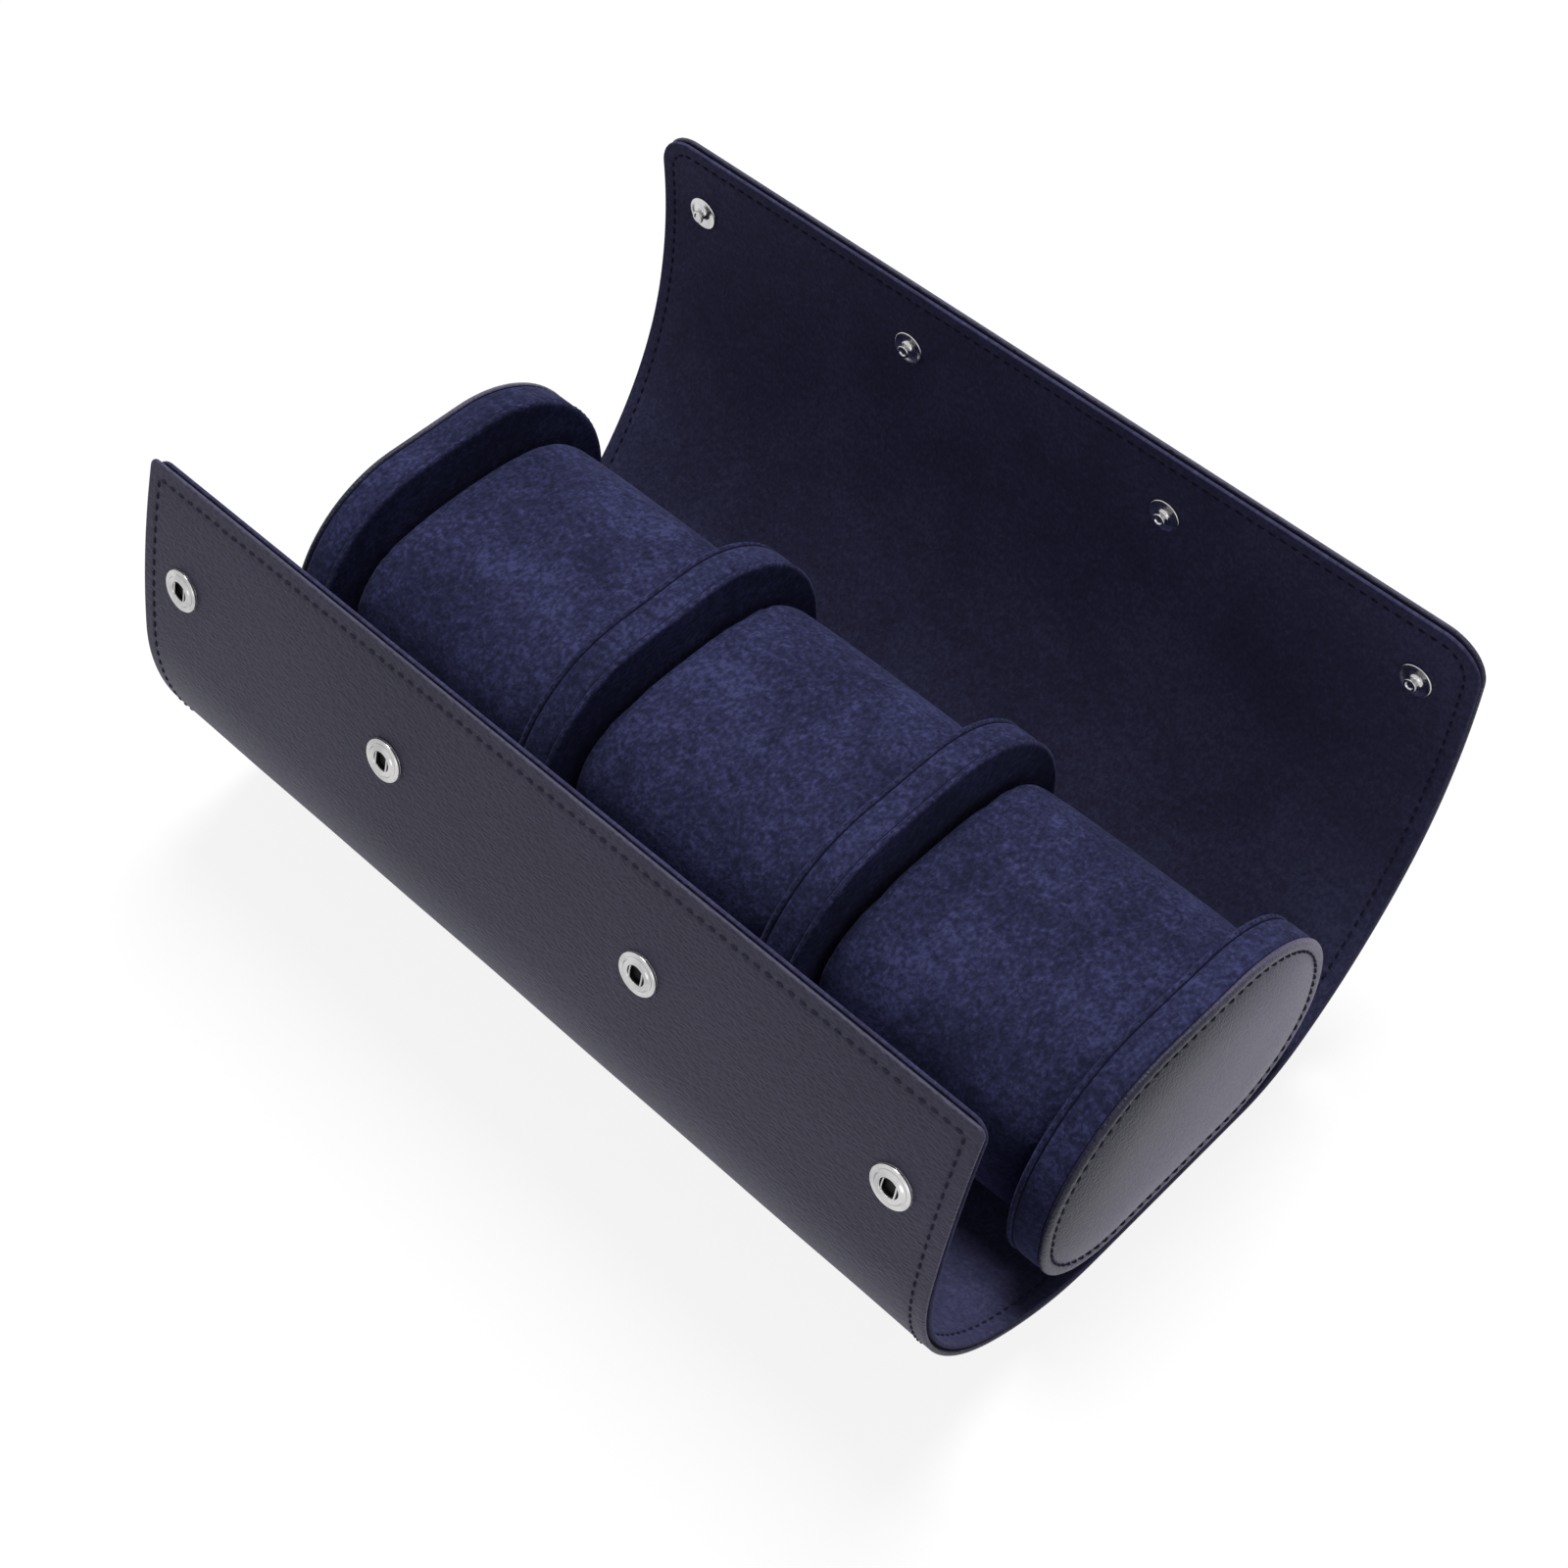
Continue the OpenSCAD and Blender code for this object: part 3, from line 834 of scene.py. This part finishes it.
def divider_face(name, x0, width, side, outermost):
    """One face of a divider, with its seam cord and thread. outermost is an end's side, or 0."""
    leather = outermost == side
    if leather:
        node, label = f"{name}_leather_face", f"{name}_outer_leather"
    else:
        node = f"{name}_suede_face" if outermost else f"{name}_faces"
        label = f"{name}_face_left" if side < 0 else f"{name}_face_right"
    mat, slot = (END_LEATHER, "leather") if leather else (SUEDE, "suede")
    seat = x0 + side * width
    profile = [(seat + side * h, inset) for h, inset in face_profile(leather)]
    obj = swept(label, profile, mat, True)
    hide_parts(node)
    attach(obj, "base")
    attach(swept(f"{label}_seam", seam_cord(seat, side), SEAM, False), "base")
    points, faces = face_stitches(seat, side, leather)
    thread = THREAD if leather else SUEDE_THREAD
    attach(make(f"{label}_thread", points, faces, thread, THREAD_SHARP), "base")


def build_dividers():
    width = DIVIDER_T / 2 - FACE_T
    for name, x0, outermost in zip(DIVIDER_NAMES, DIVIDER_X, (-1, 0, 0, 1)):
        divider_band(name, x0, width)
        for side in (-1, 1):
            divider_face(name, x0, width, side, outermost)


# Pillows.
SQUARENESS = 2.9  # power of the section's superellipse
PILLOW_FILLET = 1.7
PILLOW_DRAW = 0.6  # how far the ends are drawn in
PILLOW_SHRINK = 0.8  # room left for the swelling
SWELL = 1.8
SWELL_FRAMES = 20
VOXEL = 0.0022  # in metres


def superellipse(angle, half_w, half_h, power):
    c, s = math.cos(angle), math.sin(angle)
    return (
        math.copysign(abs(c) ** (2 / power), c) * half_w,
        math.copysign(abs(s) ** (2 / power), s) * half_h,
    )


def pillow_shape(name, x0, shrink):
    """Closed form of a pillow: a rounded section, drawn in toward ends that bulge a little."""
    half_l, half_w, half_h = (v - shrink for v in PILLOW_HALF)
    rings, sides = 44, 96
    points = []
    for i in range(rings):
        u = math.sin(math.pi / 2 * (2 * i / (rings - 1) - 1))
        left = half_l * (1 - abs(u))
        round_off = math.sqrt(max(0.0, PILLOW_FILLET ** 2 - max(0.0, PILLOW_FILLET - left) ** 2))
        draw = PILLOW_DRAW * abs(u) ** 4 + PILLOW_FILLET - round_off
        for k in range(sides):
            y, z = superellipse(2 * math.pi * k / sides, half_w - draw, half_h - draw, SQUARENESS)
            points.append((x0 + u * half_l, y, PILLOW_Z + z))
    faces = grid_faces(rings, sides, closed=True)
    ends = []
    for i, sense in ((0, -1), (rings - 1, 1)):
        first = i * sides
        last = [first + k for k in range(sides)]
        for f in (0.85, 0.65, 0.4, 0.15):
            ring = []
            for k in range(sides):
                y, z = superellipse(
                    2 * math.pi * k / sides,
                    (half_w - PILLOW_FILLET - PILLOW_DRAW) * f,
                    (half_h - PILLOW_FILLET - PILLOW_DRAW) * f,
                    SQUARENESS - 0.9 * (1 - f),
                )
                ring.append(len(points))
                points.append((x0 + sense * half_l, y, PILLOW_Z + z))
            for k in range(sides):
                faces.append((last[k], last[(k + 1) % sides], ring[(k + 1) % sides], ring[k]))
            last = ring
        ends.append(tuple(last))
    faces += ends
    return make(name, points, faces, SUEDE, 80.0)


def puff(obj, cap):
    """Lets the cover swell under a little pressure, each point by no more than cap."""
    remesh = obj.modifiers.new("even", "REMESH")
    remesh.mode = "VOXEL"
    remesh.voxel_size = VOXEL
    apply_modifiers(obj)
    before = np.zeros(len(obj.data.vertices) * 3)
    obj.data.vertices.foreach_get("co", before)
    cloth = obj.modifiers.new("cloth", "CLOTH")
    cloth.settings.quality = 6
    cloth.settings.mass = 0.25
    cloth.settings.tension_stiffness = 25
    cloth.settings.compression_stiffness = 25
    cloth.settings.shear_stiffness = 10
    cloth.settings.bending_stiffness = 2.0
    cloth.settings.use_pressure = True
    cloth.settings.uniform_pressure_force = 4.0
    cloth.settings.effector_weights.gravity = 0.0
    cloth.collision_settings.use_collision = False
    cloth.point_cache.frame_start = 1
    cloth.point_cache.frame_end = SWELL_FRAMES
    scene = bpy.context.scene
    for number in range(1, SWELL_FRAMES + 1):
        scene.frame_set(number)
    evaluated = obj.evaluated_get(bpy.context.evaluated_depsgraph_get())
    after = np.zeros(len(before))
    evaluated.data.vertices.foreach_get("co", after)
    obj.modifiers.remove(cloth)
    scene.frame_set(1)
    move = (after - before).reshape(-1, 3)
    size = np.linalg.norm(move, axis=1, keepdims=True)
    move *= np.minimum(1.0, cap * MM / np.maximum(size, 1e-9))
    obj.data.vertices.foreach_set("co", (before.reshape(-1, 3) + move).ravel())
    obj.data.update()
    subdivide = obj.modifiers.new("smooth", "SUBSURF")
    subdivide.levels = 1
    apply_modifiers(obj)


def apply_modifiers(obj):
    evaluated = obj.evaluated_get(bpy.context.evaluated_depsgraph_get())
    mesh = bpy.data.meshes.new_from_object(evaluated)
    old = obj.data
    obj.modifiers.clear()
    obj.data = mesh
    bpy.data.meshes.remove(old)
    mesh.polygons.foreach_set("use_smooth", [True] * len(mesh.polygons))


def fit_pillow(obj, x0):
    """Keeps the swollen cover inside its bay and above the lining."""
    half_l, _, half_h = PILLOW_HALF
    for v in obj.data.vertices:
        v.co.x = min(max(v.co.x, (x0 - half_l) * MM), (x0 + half_l) * MM)
        v.co.z = max(v.co.z, (PILLOW_Z - half_h) * MM)
    obj.data.update()


def build_pillows():
    for name, x0 in zip(PILLOW_NAMES, PILLOW_X):
        obj = pillow_shape(f"{name}_suede", x0, PILLOW_SHRINK)
        puff(obj, SWELL)
        fit_pillow(obj, x0)
        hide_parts(f"{name}_cover")
        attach(obj, name)


# Snap fasteners. Sections hold (radius, height over the sheet's face).
SPRING_SHIFT = 1.6  # of each wire from the socket's centre
SPRING_HEIGHT = 1.1
SPRING_REACH = 1.75
SPRING_R = 0.2
CAP_R = 5.9
EYELET_HEIGHT = 1.0  # of the eyelet's seat, sunk in the lining


def snap_frame(side, x, height):
    """Centre of a snap at a height over the middle surface, and the sheet's axes there."""
    s = LAST_S[side] - SNAP_EDGE[side]
    e_x, along, inward = wrap_axes(side, s)
    return Vector(on_wrap(side, x, s, height)), e_x, along, inward


def round_profile(r, h, radius, start, end, steps):
    """Points of an arc in a lathe's section, angles in degrees from outward."""
    return [
        (r + radius * math.cos(math.radians(a)), h + radius * math.sin(math.radians(a)))
        for a in np.linspace(start, end, steps)
    ]


def socket_sections():
    """Sections of the socket: its ring, and its floor and sleeve, which are near-black metal as
    painted shade inside the hole.
    """
    ring = [(5.05, 0.05)] + round_profile(4.62, 0.5, 0.5, -60, 90, 8)
    ring += [(4.25, 0.92), (3.95, 0.78), (3.8, 0.85)]
    ring += round_profile(2.95, 0.72, 0.72, 25, 165, 12)
    ring += [(2.18, 0.7), (2.08, 0.4), (2.0, 0.1)]
    floor = [(2.3, 0.04), (2.3, 0.12), (0.0, 0.12), (0.0, 0.04)]
    sleeve = [(2.2, 0.1), (2.2, 0.86), (2.08, 0.95), (1.96, 0.86), (1.92, 0.1)]
    return ring, floor, sleeve


def eyelet_sections():
    """Sections of the eyelet behind the socket, and of the plug that closes its hole, near-black
    metal as painted shade.
    """
    ring = [(2.3, -0.1), (2.2, 0.2), (2.6, 0.42)] + round_profile(3.9, 0.2, 0.25, 90, -60, 5)
    plug = [(2.35, -0.1), (2.35, 0.05), (0.0, 0.05), (0.0, -0.1)]
    return ring, plug


def stud_section():
    """Section of a stud: the rolled flange, the dish, the waist and the head."""
    body = [(0.0, 0.05), (3.9, 0.05)] + round_profile(3.9, 0.36, 0.3, -60, 110, 7)
    body += [(3.3, 0.42), (2.6, 0.24), (1.95, 0.3), (1.4, 0.62), (1.12, 1.2), (1.12, 1.85)]
    body += round_profile(1.34, 2.2, 0.3, -60, 95, 8)
    return body + [(1.05, 2.46), (0.8, 2.2), (0.0, 2.05)]


def cap_section():
    """Section of a domed cap."""
    dome = [(0.0, 0.05), (6.0, 0.05)] + round_profile(5.95, 0.35, 0.3, -70, 60, 6)
    for a in np.linspace(0, 1, 8):
        r = CAP_R * (1 - a)
        dome.append((r, 0.6 + 1.0 * (1 - (r / CAP_R) ** 2)))
    return dome


def spring_wire(centre, e_x, along, out, shift):
    """One wire across the socket's hole, bowed slightly outward."""
    spot = centre + out * SPRING_HEIGHT + e_x * shift
    rings, sides = 7, 8
    wire = []
    for i in range(rings):
        t = i / (rings - 1) * 2 - 1
        middle = spot + along * (t * SPRING_REACH) + e_x * (shift * 0.06 * (1 - t * t))
        for j in range(sides):
            a = 2 * math.pi * j / sides
            across, up = e_x * (SPRING_R * math.cos(a)), out * (SPRING_R * math.sin(a))
            wire.append(tuple(middle + across + up))
    return wire, tube_faces(rings, sides)


def build_snaps():
    sockets, springs, painted_shade_parts = [], [], []
    studs, caps = [], []
    for x in SNAP_X:
        centre, e_x, along, inward = snap_frame("front", x, -SKIN)
        axes = (e_x, along, -inward)
        ring, floor, sleeve = socket_sections()
        sockets.append(lathe(ring, 48, centre, axes))
        painted_shade_parts.append(lathe(floor, 32, centre, axes))
        painted_shade_parts.append(lathe(sleeve, 36, centre, axes))
        for shift in (-SPRING_SHIFT, SPRING_SHIFT):
            springs.append(spring_wire(centre, e_x, along, -inward, shift))
        seat, e_x, along, inward = snap_frame("front", x, EYELET_HEIGHT)
        ring, plug = eyelet_sections()
        sockets.append(lathe(ring, 40, seat, (e_x, along, inward)))
        painted_shade_parts.append(lathe(plug, 24, seat, (e_x, along, inward)))
        centre, e_x, along, inward = snap_frame("rear", x, SKIN)
        studs.append(lathe(stud_section(), 48, centre, (e_x, along, inward)))
        centre, e_x, along, inward = snap_frame("rear", x, -SKIN)
        caps.append(lathe(cap_section(), 56, centre, (e_x, along, -inward)))
    for name, parts, holder, mat, nodes in (
        ("snap_socket_rings", sockets, "front_flap_5", CHROME, ("snap_sockets", "snap_eyelets")),
        ("snap_spring_wires", springs, "front_flap_5", CHROME, ("snap_springs",)),
        # painted shade: the holes' floors, sleeves and plugs in near-black metal
        ("snap_hole_painted_shade", painted_shade_parts, "front_flap_5", PAINTED_SHADE_METAL, ()),
        ("snap_stud_posts", studs, "rear_flap_5", CHROME, ("snap_studs",)),
        ("snap_domed_caps", caps, "rear_flap_5", CHROME, ("snap_caps",)),
    ):
        points, faces = merge(parts)
        obj = make(name, points, faces, mat, 35.0)
        if nodes:
            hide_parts(*nodes)
        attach(obj, holder)


# Camera, light and floor, in metres and watts.
CAMERA_LENS = 61.341
CAMERA_PLACE = (0.2609, -0.268, 0.5255)
CAMERA_AZIMUTH = 44.18
CAMERA_ELEVATION = 52.5
LAMP_TARGET = (0.0, 0.0, 0.03)
LAMPS = (  # name, place, diameter, power
    ("key", (-0.2, 0.34, 1.15), 0.6, 13.0),
    ("side", (1.1, -0.9, 0.6), 0.9, 2.0),
)
SKY = 0.16
FLOOR_HALF = 6.0
FLOOR_DROP = 0.0003
FLOOR_NEAR = (0.35, 0.87)  # distance from the middle, and how white the floor glows there
FLOOR_FAR = (1.3, 1.0)
FLOOR_SEEN_DIFFUSE = 0.18
FLOOR_DIFFUSE = 0.6


def set_camera():
    data = bpy.data.cameras.new("camera")
    data.sensor_width = 36.0
    data.lens = CAMERA_LENS
    data.clip_start = 0.01
    data.clip_end = 20.0
    camera = bpy.data.objects.new("camera", data)
    azimuth, elevation = math.radians(CAMERA_AZIMUTH), math.radians(CAMERA_ELEVATION)
    level = math.cos(elevation)
    back = Vector((math.sin(azimuth) * level, -math.cos(azimuth) * level, math.sin(elevation)))
    right = Vector((math.cos(azimuth), math.sin(azimuth), 0))
    up = back.cross(right)
    rotation = Matrix((right, up, back)).transposed().to_4x4()
    camera.matrix_world = Matrix.Translation(Vector(CAMERA_PLACE)) @ rotation
    bpy.context.scene.collection.objects.link(camera)
    bpy.context.scene.camera = camera


def seen_directly(tree):
    """1 for rays from the camera and for reflections, else 0."""
    path = tree.nodes.new("ShaderNodeLightPath")
    return math_node(tree, "MAXIMUM", path.outputs["Is Camera Ray"], path.outputs["Is Glossy Ray"])


def white(tree, kind, strength):
    node = tree.nodes.new(kind)
    node.inputs["Color"].default_value = (*WHITE, 1.0)
    node.inputs["Strength"].default_value = strength
    return node


def grey_diffuse(tree, level):
    node = tree.nodes.new("ShaderNodeBsdfDiffuse")
    node.inputs["Color"].default_value = (level, level, level, 1.0)
    return node


def set_light():
    """A white background, a soft sky of low strength and two disc lamps."""
    world = bpy.data.worlds.new("world")
    bpy.context.scene.world = world
    world.use_nodes = True
    tree = world.node_tree
    tree.nodes.clear()
    out = tree.nodes.new("ShaderNodeOutputWorld")
    light = white(tree, "ShaderNodeBackground", SKY)
    seen = white(tree, "ShaderNodeBackground", 1.0)
    mix = tree.nodes.new("ShaderNodeMixShader")
    tree.links.new(seen_directly(tree), mix.inputs[0])
    tree.links.new(light.outputs[0], mix.inputs[1])
    tree.links.new(seen.outputs[0], mix.inputs[2])
    tree.links.new(mix.outputs[0], out.inputs[0])
    for name, place, size, power in LAMPS:
        data = bpy.data.lights.new(name, "AREA")
        data.shape = "DISK"
        data.size = size
        data.energy = power
        lamp = bpy.data.objects.new(name, data)
        lamp.location = place
        aim = Vector(LAMP_TARGET) - Vector(place)
        lamp.rotation_euler = aim.to_track_quat("-Z", "Y").to_euler()
        bpy.context.scene.collection.objects.link(lamp)


def set_floor():
    """A white floor that keeps a faint shadow near the part and turns plain white farther away."""
    mesh = bpy.data.meshes.new("floor")
    signs = ((-1, -1), (1, -1), (1, 1), (-1, 1))
    mesh.from_pydata([(a * FLOOR_HALF, b * FLOOR_HALF, 0) for a, b in signs], [], [(0, 1, 2, 3)])
    floor = bpy.data.objects.new("floor", mesh)
    floor.location.z = -FLOOR_DROP
    bpy.context.scene.collection.objects.link(floor)
    mat = bpy.data.materials.new("pale_floor")
    mat.use_nodes = True
    tree = mat.node_tree
    tree.nodes.clear()
    out = tree.nodes.new("ShaderNodeOutputMaterial")
    diffuse = grey_diffuse(tree, FLOOR_DIFFUSE)
    glow = white(tree, "ShaderNodeEmission", 1.0)
    place = tree.nodes.new("ShaderNodeTexCoord")
    far = tree.nodes.new("ShaderNodeVectorMath")
    far.operation = "LENGTH"
    tree.links.new(place.outputs["Object"], far.inputs[0])
    fade = tree.nodes.new("ShaderNodeMapRange")
    fade.inputs["From Min"].default_value, fade.inputs["To Min"].default_value = FLOOR_NEAR
    fade.inputs["From Max"].default_value, fade.inputs["To Max"].default_value = FLOOR_FAR
    tree.links.new(far.outputs["Value"], fade.inputs["Value"])
    tree.links.new(fade.outputs["Result"], glow.inputs["Strength"])
    faint = grey_diffuse(tree, FLOOR_SEEN_DIFFUSE)
    add = tree.nodes.new("ShaderNodeAddShader")
    mix = tree.nodes.new("ShaderNodeMixShader")
    tree.links.new(faint.outputs[0], add.inputs[0])
    tree.links.new(glow.outputs[0], add.inputs[1])
    tree.links.new(seen_directly(tree), mix.inputs[0])
    tree.links.new(diffuse.outputs[0], mix.inputs[1])
    tree.links.new(add.outputs[0], mix.inputs[2])
    tree.links.new(mix.outputs[0], out.inputs[0])
    floor.data.materials.append(mat)


set_camera()
set_light()
set_floor()
build_wrap()
for layer_name in LAYERS:
    base_piece(layer_name)
build_stitches()
build_dividers()
build_pillows()
build_snaps()
for node_name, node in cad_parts.items():
    if node_name.endswith("_core"):  # foam, hidden inside the dividers and pillows
        node.data.materials.clear()
        node.data.materials.append(FOAM)

bpy.context.scene.view_settings.view_transform = "Standard"
